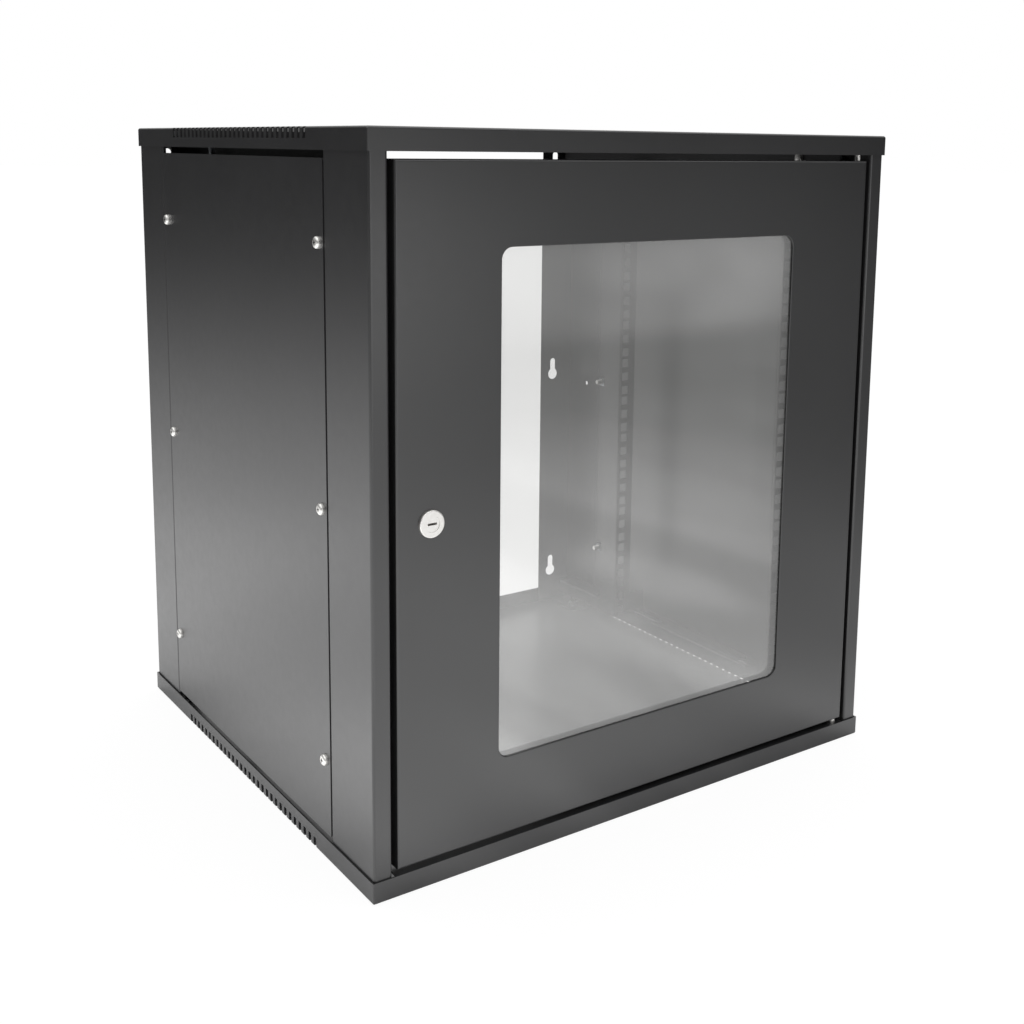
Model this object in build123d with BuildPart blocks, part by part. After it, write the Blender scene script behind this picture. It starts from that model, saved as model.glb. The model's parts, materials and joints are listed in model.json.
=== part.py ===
"""Wall mount network cabinet: folded sheet steel frame, glazed hinged door, 19 inch rails, open back.

Millimetres, +X to the right, -Y to the front, +Z up. The origin is the middle of the underside.
"""

import os
from math import degrees

from build123d import *

os.makedirs("parts", exist_ok=True)

# Overall size of the sheet steel case
width = 550.0
depth = 500.0
height = 600.0

# Sheet steel, its bends and the room between pieces that slip together
sheet = 1.2
bend_radius = 1.8
slip_gap = 0.3
running_gap = 0.05

# Top and bottom trays
tray_flange = 18.0
tray_edge_radius = 2.0
tray_corner_radius = 1.0
lip_depth = 17.0
lip_end_gap = 3.0
vent_from_end = 100.0
vent_spacing = 10.0
vent_width = 5.0
vent_rise = 9.0
vent_inset = 3.0
fan_spacing = 160.0
fan_from_front = 235.0
fan_rings = (16.0, 30.0, 44.0, 56.0)
fan_slot_width = 6.0
fan_bridge_width = 10.0
fan_bolt_spacing = 105.0
fan_bolt_radius = 2.3
entry_length = 200.0
entry_width = 50.0
entry_radius = 12.0
entry_from_back = 62.0
grommet_wall = 1.6
grommet_lip = 6.0
grommet_thick = 1.8

# Corner posts
front_post_side = 74.0
front_post_face = 16.2
jamb_depth = 20.7
strike_width = 17.5
strike_notch = 26.0
rear_post_side = 65.0
rear_post_back = 45.5
joggle_run = 2.0
joggle_radius = 0.9
seat_width = 26.0
foot_length = 30.0
foot_reach = 31.0
foot_from_seam = 12.0
rear_foot_from_seam = 8.0
foot_stud_radius = 3.0
foot_stud_height = 13.0
foot_stud_inset = 18.5

# Keyholes in the rear posts for hanging the case on a wall
keyhole_radius = 7.0
keyhole_slot = 8.0
keyhole_rise = 16.0
keyhole_from_end = 40.0
keyhole_from_side = 27.5
bond_hole_radius = 2.6
bond_hole_from_back = 38.0
bond_hole_drop = 9.0

# Side panels and their screws
panel_gap = 1.0
panel_top_gap = 6.0
panel_bottom_gap = 3.5
panel_corner = 2.0
screw_from_end = 64.75
screw_inset = 9.0
screw_radius = 3.0
screw_head_radius = 4.9
screw_head_height = 3.4
screw_head_round = 1.6
screw_length = 13.0
recess_span = 5.0
recess_width = 1.2
recess_depth = 1.5
square_nut = 10.0
square_nut_height = 4.0

# Depth brackets between the posts
bracket_sheet = 1.5
bracket_leg_least = 14.0
bracket_shelf = 24.0
bracket_past_flange = 1.0
bracket_overlap = 44.0
bracket_lip = 6.0
bracket_hole_radius = 2.5
bracket_hole_from_front = 52.0
bracket_hole_rise = 4.5
bracket_slot_length = 120.0
bracket_slot_width = 6.8
stud_radius = 2.5
stud_collar_radius = 5.0
stud_length = 11.0
stud_from_end = 17.0
stud_inset = 7.0

# Rack rails with square holes, which this case width puts on the 19 inch grid: 465.1 apart, 450 clear
unit_height = 44.45
unit_holes = (6.35, 22.225, 38.1)
hole_from_side = 42.45
rail_from_side = 50.0
square_hole = 9.5
rail_sheet = 1.5
rail_face = 21.0
rail_end_margin = 1.2
rail_leg = 30.0
rail_front_setback = 80.0
rail_rear_from_back = 167.0
ear_reach = 43.0
ear_height = 24.0
tab_length = 26.0
rail_bolt_radius = 3.0
rail_bolt_length = 20.0
rail_bolt_reach = 32.0
bolt_head_height = 4.0
nut_flats = 10.0
nut_height = 5.0

# Door pan, window and its fixings
door_side_gap = 5.0
door_top_gap = 5.4
door_bottom_gap = 4.0
door_depth = 16.0
door_hem = 12.0
door_edge_radius = 2.0
window_from_side = 94.3
window_from_end = 67.3
window_radius = 10.0
window_edge_radius = 0.8
pane_overlap = 15.0
pane_thick = 4.0
tape_thick = 0.5
tape_setback = 2.5
tape_width = 10.0
clip_width = 14.0
clip_sheet = 1.0
clip_bend = 0.9
clip_foot = 18.0
clip_riser = 3.0
clip_finger = 8.0
clip_stud_radius = 2.0
clip_stud_reach = 11.0
clip_stud_height = 7.5
clip_nut_flats = 7.0
clip_nut_height = 3.2
clip_from_corner = 60.0
bumper_radius = 5.0
bumper_from_end = 127.7
bumper_gap = 0.3

# Pin hinges on the right-hand edge of the door
hinge_inset = 6.3
hinge_setback = 6.2
pin_radius = 2.25
pin_reach = 8.0
pin_collar_radius = 3.6
pin_collar_height = 3.0
hinge_plate_width = 11.4
hinge_plate_from_end = 15.0
hinge_plate_height = 32.0
hinge_ear_depth = 10.5
pin_tail = 8.0
lever_length = 18.0
lever_radius = 1.5
spring_wire_radius = 0.4
spring_mean_radius = 3.1
spring_turns = 7

# Cam lock on the left-hand edge of the door
lock_inset = 30.3
lock_face_radius = 11.0
lock_face_height = 2.5
lock_face_round = 0.9
barrel_radius = 9.0
barrel_flat = 7.6
barrel_bore_radius = 6.5
plug_recess = 0.4
key_slot_length = 8.0
key_slot_width = 1.8
key_slot_depth = 9.0
lock_nut_flats = 22.0
lock_nut_height = 3.0
cam_clearance = 0.6
cam_thick = 2.0
cam_reach = 25.0
cam_hub_radius = 8.0
cam_tip_radius = 5.0
cam_square = 7.0
cam_screw_radius = 2.0
cam_screw_length = 9.0
cam_screw_head_radius = 4.5
cam_screw_head_height = 2.6

# Planes and lines that several pieces share
mid_height = Plane.XY.offset(height / 2)
post_side = width / 2 - sheet - slip_gap
post_back = depth / 2 - sheet - slip_gap
post_front = -post_back
post_length = height - 2 * sheet
wall_inside = post_side - sheet
seat_inside = post_side - 2 * sheet
front_seam = post_front + front_post_side
rear_seam = post_back - rear_post_side
jamb_face = post_side - front_post_face
strike_back = post_front + jamb_depth
strike_front = strike_back - sheet
flange_top = tray_flange
flange_roof = height - tray_flange
front_foot_mid = front_seam - foot_from_seam - foot_length / 2
rear_foot_mid = rear_seam + rear_foot_from_seam + foot_length / 2
foot_stud_x = wall_inside - foot_stud_inset
vent_slots = int((depth - 2 * vent_from_end) // vent_spacing)
keyhole_x = post_side - keyhole_from_side
keyhole_spacing = height / 2 - keyhole_from_end
bracket_base = flange_top - bracket_past_flange
bracket_outer = seat_inside
bracket_front = front_seam - bracket_overlap
bracket_back = rear_seam + bracket_overlap
bracket_length = bracket_back - bracket_front
stud_z = bracket_base + stud_inset
front_stud_y = bracket_front + stud_from_end
rear_stud_y = bracket_back - stud_from_end
rail_front_y = -depth / 2 + rail_front_setback
rail_rear_y = depth / 2 - rail_rear_from_back
rail_inner = width / 2 - rail_from_side
rail_bolt_x = rail_inner + rail_bolt_reach
rack_units = int((height - 2 * (bracket_base + bracket_leg_least)) // unit_height)
first_unit = (height - rack_units * unit_height) / 2
rail_bottom = first_unit - rail_end_margin
rail_length = height - 2 * rail_bottom
shelf_under = rail_bottom - bracket_sheet
panel_front = front_seam + panel_gap
panel_back = rear_seam - panel_gap
panel_bottom = flange_top + panel_bottom_gap
panel_top = flange_roof - panel_top_gap
panel_mid_y = (panel_front + panel_back) / 2
panel_mid_z = (panel_bottom + panel_top) / 2
screw_row = panel_back - panel_front - 2 * screw_inset
screw_spacing = (panel_top - panel_bottom) / 2 - screw_from_end
door_half = jamb_face - door_side_gap
door_front = post_front
door_inside = door_front + sheet
door_back = door_front + door_depth
door_bottom = flange_top + door_bottom_gap
door_top = flange_roof - door_top_gap
door_mid = (door_bottom + door_top) / 2
door_height = door_top - door_bottom
window_width = 2 * (door_half - window_from_side)
window_height = door_height - 2 * window_from_end
pane_front = door_inside + tape_thick
pane_half = window_width / 2 + pane_overlap
pane_rise = window_height / 2 + pane_overlap
clip_spacing = window_height / 2 - clip_from_corner
bumper_spacing = door_height - 2 * bumper_from_end
hinge_x = door_half - hinge_inset
hinge_y = door_front + hinge_setback
hinge_hole = pin_radius + running_gap
lower_ear_z = door_bottom + hinge_plate_from_end
upper_ear_z = door_top - hinge_plate_from_end
lock_x = -door_half + lock_inset
barrel_back = strike_back + cam_clearance - running_gap
cam_front = strike_back + cam_clearance
cam_back = cam_front + cam_thick
plug_radius = barrel_bore_radius - running_gap


def keep(piece: Part, name: str) -> None:
    """Label a finished piece and write it as its own file."""
    piece.label = name
    export_step(piece, f"parts/{name}.step")


def mirrored(piece: Part, about: Plane) -> Part:
    """Return the opposite-hand copy of a piece."""
    with BuildPart() as copy:
        mirror(piece, about=about)
    return copy.part


def at_y(y: float) -> Plane:
    """Return a sketch plane across the case at a depth, with X right and Z up, facing the front."""
    return Plane.XZ.offset(-y)


def bar(x0: float, x1: float, y0: float, y1: float) -> None:
    """Draw a rectangle between two corners of the sketch in hand."""
    with Locations(((x0 + x1) / 2, (y0 + y1) / 2)):
        Rectangle(abs(x1 - x0), abs(y1 - y0))


# Bottom tray: a pan with a hinge lip, side vents, welded studs for the posts and a cable entry
foot_stud_places = [(x, y) for x in (-foot_stud_x, foot_stud_x) for y in (front_foot_mid, rear_foot_mid)]
entry_y = depth / 2 - entry_from_back
with BuildPart() as bottom_tray:
    with BuildSketch():
        Rectangle(width, depth)
    extrude(amount=tray_flange)
    with BuildSketch(Plane.XY.offset(sheet)):
        Rectangle(width - 2 * sheet, depth - 2 * sheet)
    extrude(amount=tray_flange, mode=Mode.SUBTRACT)
    fillet(bottom_tray.edges().filter_by(Axis.Z).sort_by(SortBy.LENGTH)[-4:], radius=tray_corner_radius)
    fillet(bottom_tray.edges().group_by(Axis.Z)[0], radius=tray_edge_radius)
    lip_half = jamb_face - lip_end_gap
    with BuildSketch(Plane.XY.offset(tray_flange - sheet)):
        bar(-lip_half, lip_half, -depth / 2 + sheet / 2, -depth / 2 + lip_depth)
    extrude(amount=sheet)
    with BuildSketch(Plane.XY.offset(tray_flange)):
        with Locations((hinge_x, hinge_y)):
            Circle(hinge_hole)
    extrude(amount=-2 * sheet, mode=Mode.SUBTRACT)
    with BuildSketch():
        for side in (-1, 1):
            with Locations((side * (width / 2 - vent_inset / 2), 0)):
                with GridLocations(0, vent_spacing, 1, vent_slots):
                    Rectangle(vent_inset, vent_width)
    extrude(amount=vent_rise, mode=Mode.SUBTRACT)
    with BuildSketch():
        with Locations((0, entry_y)):
            RectangleRounded(entry_length, entry_width, entry_radius)
    extrude(amount=sheet, mode=Mode.SUBTRACT)
    with BuildSketch(Plane.XY.offset(sheet)):
        with Locations(*foot_stud_places):
            Circle(foot_stud_radius)
    extrude(amount=foot_stud_height)
keep(bottom_tray.part, "bottom_tray")

# Top tray: the same pan turned over, with two fan grilles
with BuildPart() as top_tray:
    mirror(bottom_tray.part, about=mid_height)
    with BuildSketch(Plane.XY.offset(height)):
        with Locations((0, -depth / 2 + fan_from_front)):
            with GridLocations(fan_spacing, 0, 2, 1):
                for ring in fan_rings:
                    gap_angle = degrees((fan_bridge_width + fan_slot_width) / ring)
                    with PolarLocations(0, 4):
                        SlotArc(CenterArc((0, 0), ring, gap_angle / 2, 90 - gap_angle), fan_slot_width)
                with GridLocations(fan_bolt_spacing, fan_bolt_spacing, 2, 2):
                    Circle(fan_bolt_radius)
    extrude(amount=-sheet, mode=Mode.SUBTRACT)
keep(top_tray.part, "top_tray")

# Edge grommets of the cable entries, flush with the outside of each tray
with BuildPart() as bottom_cable_grommet:
    web_length = entry_length - 2 * slip_gap
    web_width = entry_width - 2 * slip_gap
    lip_length = entry_length + 2 * grommet_lip
    lip_width = entry_width + 2 * grommet_lip
    bore_length = web_length - 2 * grommet_wall
    bore_width = web_width - 2 * grommet_wall
    with BuildSketch():
        with Locations((0, entry_y)):
            RectangleRounded(web_length, web_width, entry_radius - slip_gap)
    extrude(amount=sheet)
    with BuildSketch(Plane.XY.offset(sheet)):
        with Locations((0, entry_y)):
            RectangleRounded(lip_length, lip_width, entry_radius + grommet_lip)
    extrude(amount=grommet_thick)
    with BuildSketch():
        with Locations((0, entry_y)):
            RectangleRounded(bore_length, bore_width, entry_radius - grommet_wall)
    extrude(amount=sheet + grommet_thick, mode=Mode.SUBTRACT)
keep(bottom_cable_grommet.part, "bottom_cable_grommet")
keep(mirrored(bottom_cable_grommet.part, mid_height), "top_cable_grommet")

# Front post: panel seat, joggle, side wall, front face, jamb and strike flange in one folded strip
screw_heights = [panel_mid_z + step * screw_spacing for step in (-1, 0, 1)]
stud_heights = (stud_z, height - stud_z)
seat_reliefs = ((sheet, panel_bottom), (panel_top, height - sheet))
seat_mid = seat_inside + sheet / 2
wall_mid = post_side - sheet / 2
with BuildPart() as front_right_post:
    with BuildSketch(Plane.XY.offset(sheet)):
        with BuildLine():
            FilletPolyline(
                (seat_mid, front_seam + seat_width),
                (seat_mid, front_seam),
                (wall_mid, front_seam - joggle_run),
                (wall_mid, post_front + sheet / 2),
                (jamb_face + sheet / 2, post_front + sheet / 2),
                (jamb_face + sheet / 2, strike_back - sheet / 2),
                (jamb_face - strike_width, strike_back - sheet / 2),
                radius=[joggle_radius, joggle_radius, bend_radius, bend_radius, bend_radius],
            )
        trace(line_width=sheet)
    extrude(amount=post_length)
    for low, high in seat_reliefs:
        with BuildSketch(Plane.XY.offset(low)):
            bar(seat_inside, seat_inside + sheet, front_seam + joggle_radius, front_seam + seat_width)
        extrude(amount=high - low, mode=Mode.SUBTRACT)
    strike_bend = jamb_face + sheet / 2 - bend_radius
    for low in (sheet, height - sheet - strike_notch):
        with BuildSketch(Plane.XY.offset(low)):
            bar(jamb_face - strike_width, strike_bend, strike_front, strike_back)
        extrude(amount=strike_notch, mode=Mode.SUBTRACT)
    for level in (sheet, height - 2 * sheet):
        with BuildSketch(Plane.XY.offset(level)):
            foot_edge = wall_inside + sheet / 2
            with Locations((foot_edge - foot_reach / 2, front_foot_mid)):
                Rectangle(foot_reach, foot_length)
            with Locations((foot_stud_x, front_foot_mid)):
                Circle(foot_stud_radius + slip_gap, mode=Mode.SUBTRACT)
        extrude(amount=sheet)
    with BuildSketch(Plane.YZ.offset(wall_inside)):
        with Locations(*[(front_stud_y, z) for z in stud_heights]):
            Circle(stud_collar_radius)
    extrude(amount=-sheet)
    with BuildSketch(Plane.YZ.offset(wall_inside)):
        with Locations(*[(front_stud_y, z) for z in stud_heights]):
            Circle(stud_radius)
    extrude(amount=-stud_length)
    with BuildSketch(Plane.YZ.offset(wall_inside)):
        with Locations(*[(panel_front + screw_inset, z) for z in screw_heights]):
            Circle(screw_radius + slip_gap)
    extrude(amount=-sheet, mode=Mode.SUBTRACT)
keep(front_right_post.part, "front_right_post")
keep(mirrored(front_right_post.part, Plane.YZ), "front_left_post")

# Rear post: panel seat, joggle, side wall and a back flange with three keyholes
with BuildPart() as rear_left_post:
    with BuildSketch(Plane.XY.offset(sheet)):
        with BuildLine():
            FilletPolyline(
                (-seat_mid, rear_seam - seat_width),
                (-seat_mid, rear_seam),
                (-wall_mid, rear_seam + joggle_run),
                (-wall_mid, post_back - sheet / 2),
                (-post_side + rear_post_back, post_back - sheet / 2),
                radius=[joggle_radius, joggle_radius, bend_radius],
            )
        trace(line_width=sheet)
    extrude(amount=post_length)
    for low, high in seat_reliefs:
        with BuildSketch(Plane.XY.offset(low)):
            bar(-seat_inside - sheet, -seat_inside, rear_seam - seat_width, rear_seam - joggle_radius)
        extrude(amount=high - low, mode=Mode.SUBTRACT)
    for level in (sheet, height - 2 * sheet):
        with BuildSketch(Plane.XY.offset(level)):
            foot_edge = -wall_inside - sheet / 2
            with Locations((foot_edge + foot_reach / 2, rear_foot_mid)):
                Rectangle(foot_reach, foot_length)
            with Locations((-foot_stud_x, rear_foot_mid)):
                Circle(foot_stud_radius + slip_gap, mode=Mode.SUBTRACT)
        extrude(amount=sheet)
    with BuildSketch(at_y(post_back)):
        with Locations((-keyhole_x, height / 2)):
            with GridLocations(0, keyhole_spacing, 1, 3):
                Circle(keyhole_radius)
                with Locations((0, keyhole_rise / 2)):
                    SlotCenterToCenter(keyhole_rise, keyhole_slot, rotation=90)
    extrude(amount=sheet, mode=Mode.SUBTRACT)
    with BuildSketch(Plane.YZ.offset(-wall_inside)):
        with Locations(*[(rear_stud_y, z) for z in stud_heights]):
            Circle(stud_collar_radius)
    extrude(amount=sheet)
    with BuildSketch(Plane.YZ.offset(-wall_inside)):
        with Locations(*[(rear_stud_y, z) for z in stud_heights]):
            Circle(stud_radius)
    extrude(amount=stud_length)
    with BuildSketch(Plane.YZ.offset(-wall_inside)):
        with Locations(*[(panel_back - screw_inset, z) for z in screw_heights]):
            Circle(screw_radius + slip_gap)
    extrude(amount=sheet, mode=Mode.SUBTRACT)
keep(rear_left_post.part, "rear_left_post")

# The right-hand rear post also has a bonding hole in its side wall
with BuildPart() as rear_right_post:
    mirror(rear_left_post.part, about=Plane.YZ)
    with BuildSketch(Plane.YZ.offset(post_side)):
        with Locations((post_back - bond_hole_from_back, height / 2 - bond_hole_drop)):
            Circle(bond_hole_radius)
    extrude(amount=-sheet, mode=Mode.SUBTRACT)
keep(rear_right_post.part, "rear_right_post")

# Side panels, flush with the posts on their joggled seats
with BuildPart() as right_side_panel:
    with BuildSketch(Plane.YZ.offset(wall_inside)):
        with Locations((panel_mid_y, panel_mid_z)):
            RectangleRounded(panel_back - panel_front, panel_top - panel_bottom, panel_corner)
            with GridLocations(screw_row, screw_spacing, 2, 3):
                Circle(screw_radius + slip_gap, mode=Mode.SUBTRACT)
    extrude(amount=sheet)
keep(right_side_panel.part, "right_side_panel")
keep(mirrored(right_side_panel.part, Plane.YZ), "left_side_panel")

# Pan head screws of the side panels, with cross recesses
with BuildPart() as right_panel_screws:
    with BuildSketch(Plane.YZ.offset(post_side)):
        with Locations((panel_mid_y, panel_mid_z)):
            with GridLocations(screw_row, screw_spacing, 2, 3):
                Circle(screw_head_radius)
    extrude(amount=screw_head_height)
    fillet(right_panel_screws.edges().group_by(Axis.X)[-1], radius=screw_head_round)
    with BuildSketch(Plane.YZ.offset(post_side)):
        with Locations((panel_mid_y, panel_mid_z)):
            with GridLocations(screw_row, screw_spacing, 2, 3):
                Circle(screw_radius)
    extrude(amount=-screw_length)
    with BuildSketch(Plane.YZ.offset(post_side + screw_head_height)):
        with Locations((panel_mid_y, panel_mid_z)):
            with GridLocations(screw_row, screw_spacing, 2, 3):
                Rectangle(recess_span, recess_width)
                Rectangle(recess_width, recess_span)
    extrude(amount=-recess_depth, mode=Mode.SUBTRACT)
keep(right_panel_screws.part, "right_panel_screws")
keep(mirrored(right_panel_screws.part, Plane.YZ), "left_panel_screws")

# Square nuts behind the panel seats
with BuildPart() as right_panel_nuts:
    with BuildSketch(Plane.YZ.offset(seat_inside)):
        with Locations((panel_mid_y, panel_mid_z)):
            with GridLocations(screw_row, screw_spacing, 2, 3):
                Rectangle(square_nut, square_nut)
                Circle(screw_radius + running_gap, mode=Mode.SUBTRACT)
    extrude(amount=-square_nut_height)
keep(right_panel_nuts.part, "right_panel_nuts")
keep(mirrored(right_panel_nuts.part, Plane.YZ), "left_panel_nuts")

# Depth brackets: folded channels on the posts' studs, with slots that let the rails move in depth
with BuildPart() as lower_right_bracket:
    with BuildSketch(at_y(bracket_front)):
        with BuildLine():
            FilletPolyline(
                (bracket_outer - bracket_sheet / 2, bracket_base),
                (bracket_outer - bracket_sheet / 2, shelf_under + bracket_sheet / 2),
                (bracket_outer - bracket_shelf + bracket_sheet / 2, shelf_under + bracket_sheet / 2),
                (bracket_outer - bracket_shelf + bracket_sheet / 2, bracket_base),
                radius=bend_radius,
            )
        trace(line_width=bracket_sheet)
    extrude(amount=-bracket_length)
    with BuildSketch(Plane.YZ.offset(bracket_outer)):
        bar(front_seam, rear_seam, bracket_base, rail_bottom - bracket_lip)
    extrude(amount=-bracket_sheet, mode=Mode.SUBTRACT)
    with BuildSketch(Plane.YZ.offset(bracket_outer - bracket_shelf)):
        with Locations((bracket_front + bracket_hole_from_front, bracket_base + bracket_hole_rise)):
            Circle(bracket_hole_radius)
    extrude(amount=bracket_sheet, mode=Mode.SUBTRACT)
    with BuildSketch(Plane.YZ.offset(bracket_outer)):
        with Locations((front_stud_y, stud_z), (rear_stud_y, stud_z)):
            Circle(stud_radius + slip_gap)
    extrude(amount=-bracket_sheet, mode=Mode.SUBTRACT)
    with BuildSketch(Plane.XY.offset(shelf_under)):
        for rail_y in (rail_front_y, rail_rear_y):
            with Locations((rail_bolt_x, rail_y + tab_length / 2)):
                SlotOverall(bracket_slot_length, bracket_slot_width, rotation=90)
    extrude(amount=bracket_sheet, mode=Mode.SUBTRACT)
keep(lower_right_bracket.part, "lower_right_bracket")
keep(mirrored(lower_right_bracket.part, Plane.YZ), "lower_left_bracket")
upper_right_bracket = mirrored(lower_right_bracket.part, mid_height)
keep(upper_right_bracket, "upper_right_bracket")
keep(mirrored(upper_right_bracket, Plane.YZ), "upper_left_bracket")

# Nuts that hold the brackets on the posts' studs
bracket_inner = bracket_outer - bracket_sheet
with BuildPart() as bracket_nuts:
    for side in (-1, 1):
        with BuildSketch(Plane.YZ.offset(side * bracket_inner)):
            with Locations(*[(y, z) for y in (front_stud_y, rear_stud_y) for z in stud_heights]):
                RegularPolygon(nut_flats / 2, 6, major_radius=False)
                Circle(stud_radius + running_gap, mode=Mode.SUBTRACT)
        extrude(amount=-side * nut_height)
keep(bracket_nuts.part, "bracket_nuts")

# Nuts that hold the posts on the trays' studs
with BuildPart() as bottom_post_nuts:
    with BuildSketch(Plane.XY.offset(2 * sheet)):
        with Locations(*foot_stud_places):
            RegularPolygon(nut_flats / 2, 6, major_radius=False)
            Circle(foot_stud_radius + running_gap, mode=Mode.SUBTRACT)
    extrude(amount=nut_height)
keep(bottom_post_nuts.part, "bottom_post_nuts")
keep(mirrored(bottom_post_nuts.part, mid_height), "top_post_nuts")

# Rack rails: an angle with square holes, and an ear and a tab at each end for the brackets
hole_x = width / 2 - hole_from_side
hole_heights = [first_unit + step * unit_height + rise for step in range(rack_units) for rise in unit_holes]
for place, rail_y in (("front", rail_front_y), ("rear", rail_rear_y)):
    with BuildPart() as rail:
        with BuildSketch(Plane.XY.offset(rail_bottom)):
            with BuildLine():
                FilletPolyline(
                    (rail_inner + rail_sheet / 2, rail_y + rail_leg),
                    (rail_inner + rail_sheet / 2, rail_y + rail_sheet / 2),
                    (rail_inner + rail_face, rail_y + rail_sheet / 2),
                    radius=bend_radius,
                )
            trace(line_width=rail_sheet)
        extrude(amount=rail_length)
        for low in (rail_bottom, rail_bottom + rail_length - ear_height):
            with BuildSketch(at_y(rail_y)):
                bar(rail_inner + rail_face, rail_inner + ear_reach, low, low + ear_height)
            extrude(amount=-rail_sheet)
        for low in (rail_bottom, rail_bottom + rail_length - rail_sheet):
            with BuildSketch(Plane.XY.offset(low)):
                bar(rail_inner + rail_face, rail_inner + ear_reach, rail_y, rail_y + tab_length)
                with Locations((rail_bolt_x, rail_y + tab_length / 2)):
                    Circle(rail_bolt_radius + slip_gap, mode=Mode.SUBTRACT)
            extrude(amount=rail_sheet)
        with BuildSketch(at_y(rail_y)):
            with Locations(*[(hole_x, z) for z in hole_heights]):
                Rectangle(square_hole, square_hole)
        extrude(amount=-rail_sheet, mode=Mode.SUBTRACT)
    keep(rail.part, f"{place}_right_rail")
    keep(mirrored(rail.part, Plane.YZ), f"{place}_left_rail")

# Hexagon bolts and nuts that clamp the rails to the brackets
rail_bolt_places = [
    (side * rail_bolt_x, rail_y + tab_length / 2)
    for side in (-1, 1)
    for rail_y in (rail_front_y, rail_rear_y)
]
with BuildPart() as lower_rail_bolts:
    with BuildSketch(Plane.XY.offset(rail_bottom + rail_sheet)):
        with Locations(*rail_bolt_places):
            RegularPolygon(nut_flats / 2, 6, major_radius=False)
    extrude(amount=bolt_head_height)
    with BuildSketch(Plane.XY.offset(rail_bottom + rail_sheet)):
        with Locations(*rail_bolt_places):
            Circle(rail_bolt_radius)
    extrude(amount=-rail_bolt_length)
keep(lower_rail_bolts.part, "lower_rail_bolts")
keep(mirrored(lower_rail_bolts.part, mid_height), "upper_rail_bolts")
with BuildPart() as lower_rail_nuts:
    with BuildSketch(Plane.XY.offset(shelf_under)):
        with Locations(*rail_bolt_places):
            RegularPolygon(nut_flats / 2, 6, major_radius=False)
            Circle(rail_bolt_radius + running_gap, mode=Mode.SUBTRACT)
    extrude(amount=-nut_height)
keep(lower_rail_nuts.part, "lower_rail_nuts")
keep(mirrored(lower_rail_nuts.part, mid_height), "upper_rail_nuts")

# Window clip seats: a plane on the back of the door sheet for each clip, its X pointing off the pane
clip_heights = [door_mid + step * clip_spacing for step in (-1, 0, 1)]
clip_planes = [
    Plane((side * pane_half, door_inside, z), x_dir=(side, 0, 0), z_dir=(0, 0, side))
    for side in (-1, 1)
    for z in clip_heights
]
clip_planes += [
    Plane((0, door_inside, door_mid + end * pane_rise), x_dir=(0, 0, end), z_dir=(-end, 0, 0))
    for end in (-1, 1)
]
clip_stud_planes = [
    Plane(origin=seat.from_local_coords((clip_stud_reach, 0, 0)), x_dir=(1, 0, 0), z_dir=(0, 1, 0))
    for seat in clip_planes
]

# Door: a folded pan with hemmed edges, a window, a double flat lock hole and hinge pin holes
with BuildPart() as door_frame:
    with BuildSketch(at_y(door_front)):
        with Locations((0, door_mid)):
            Rectangle(2 * door_half, door_height)
    extrude(amount=-door_depth)
    with BuildSketch(at_y(door_inside)):
        with Locations((0, door_mid)):
            Rectangle(2 * (door_half - sheet), door_height - 2 * sheet)
    extrude(amount=-(door_depth - 2 * sheet), mode=Mode.SUBTRACT)
    with BuildSketch(at_y(door_back - sheet)):
        with Locations((0, door_mid)):
            Rectangle(2 * (door_half - door_hem), door_height - 2 * door_hem)
    extrude(amount=-sheet, mode=Mode.SUBTRACT)
    fillet(door_frame.edges().group_by(Axis.Y)[0], radius=door_edge_radius)
    with BuildSketch(at_y(door_front)):
        with Locations((0, door_mid)):
            RectangleRounded(window_width, window_height, window_radius)
    extrude(amount=-sheet, mode=Mode.SUBTRACT)
    fillet(door_frame.edges(Select.LAST).group_by(Axis.Y)[0], radius=window_edge_radius)
    with BuildSketch(at_y(door_front)):
        with Locations((lock_x, door_mid)):
            Circle(barrel_radius + slip_gap)
    extrude(amount=-sheet, mode=Mode.SUBTRACT)
    with BuildSketch(Plane.XY.offset(door_bottom)):
        with Locations((hinge_x, hinge_y)):
            Circle(hinge_hole)
    extrude(amount=door_height, mode=Mode.SUBTRACT)
    for seat in clip_stud_planes:
        with BuildSketch(seat):
            Circle(clip_stud_radius)
        extrude(amount=clip_stud_height)
keep(door_frame.part, "door_frame")

# Foam tape ring and the clear pane behind the window
with BuildPart() as window_tape:
    with BuildSketch(at_y(door_inside)):
        with Locations((0, door_mid)):
            tape_inner_width = window_width + 2 * tape_setback
            tape_inner_height = window_height + 2 * tape_setback
            tape_outer_width = tape_inner_width + 2 * tape_width
            tape_outer_height = tape_inner_height + 2 * tape_width
            RectangleRounded(tape_outer_width, tape_outer_height, window_radius)
            RectangleRounded(tape_inner_width, tape_inner_height, window_radius, mode=Mode.SUBTRACT)
    extrude(amount=-tape_thick)
keep(window_tape.part, "window_tape")
with BuildPart() as window_pane:
    with BuildSketch(at_y(pane_front)):
        with Locations((0, door_mid)):
            RectangleRounded(2 * pane_half, 2 * pane_rise, panel_corner)
    extrude(amount=-pane_thick)
keep(window_pane.part, "window_pane")

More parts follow.
